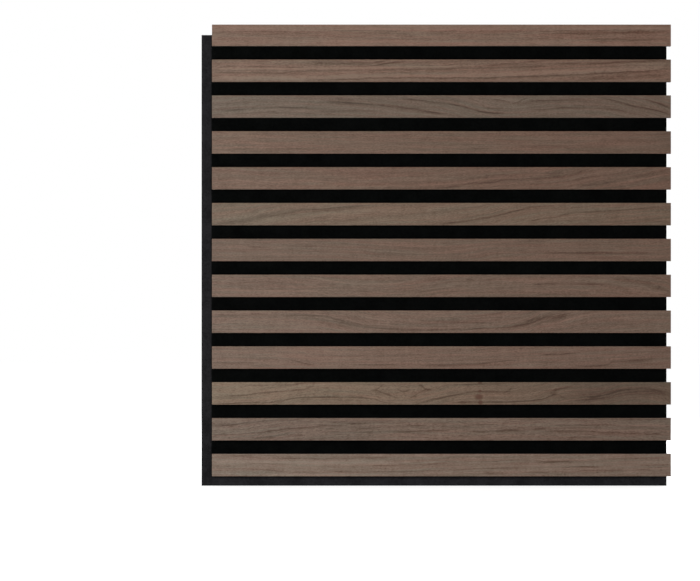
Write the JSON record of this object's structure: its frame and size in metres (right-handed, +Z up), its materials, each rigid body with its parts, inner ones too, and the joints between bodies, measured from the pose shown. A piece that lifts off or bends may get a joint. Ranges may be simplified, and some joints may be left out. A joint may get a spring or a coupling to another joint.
{
  "type": "acoustic slat wall panel",
  "caption": "Wall panel of parallel walnut-veneered slats on a dark felt board. Sound passes between the slats and is absorbed by the felt.",
  "frame": {"origin": "the middle of the felt's back face, which lies against the wall", "axes": "+X to the right along the slats as seen from the room, +Y out of the back into the wall, +Z up"},
  "size_m": [0.524, 0.021, 0.515],
  "materials": {
    "walnut_veneer": "matt lacquered",
    "slat_core": "sawn, dyed through",
    "felt": "needled and pressed",
    "staple_wire": "galvanised"
  },
  "bodies": {
    "root": {"felt_backing": "felt", "staples": "staple_wire", "slat_core_01": "slat_core", "slat_core_02": "slat_core", "slat_core_03": "slat_core", "slat_core_04": "slat_core", "slat_core_05": "slat_core", "slat_core_06": "slat_core", "slat_core_07": "slat_core", "slat_core_08": "slat_core", "slat_core_09": "slat_core", "slat_core_10": "slat_core", "slat_core_11": "slat_core", "slat_core_12": "slat_core", "slat_core_13": "slat_core", "veneer_face_01": "walnut_veneer", "veneer_face_02": "walnut_veneer", "veneer_face_03": "walnut_veneer", "veneer_face_04": "walnut_veneer", "veneer_face_05": "walnut_veneer", "veneer_face_06": "walnut_veneer", "veneer_face_07": "walnut_veneer", "veneer_face_08": "walnut_veneer", "veneer_face_09": "walnut_veneer", "veneer_face_10": "walnut_veneer", "veneer_face_11": "walnut_veneer", "veneer_face_12": "walnut_veneer", "veneer_face_13": "walnut_veneer"}
  },
  "joints": []
}
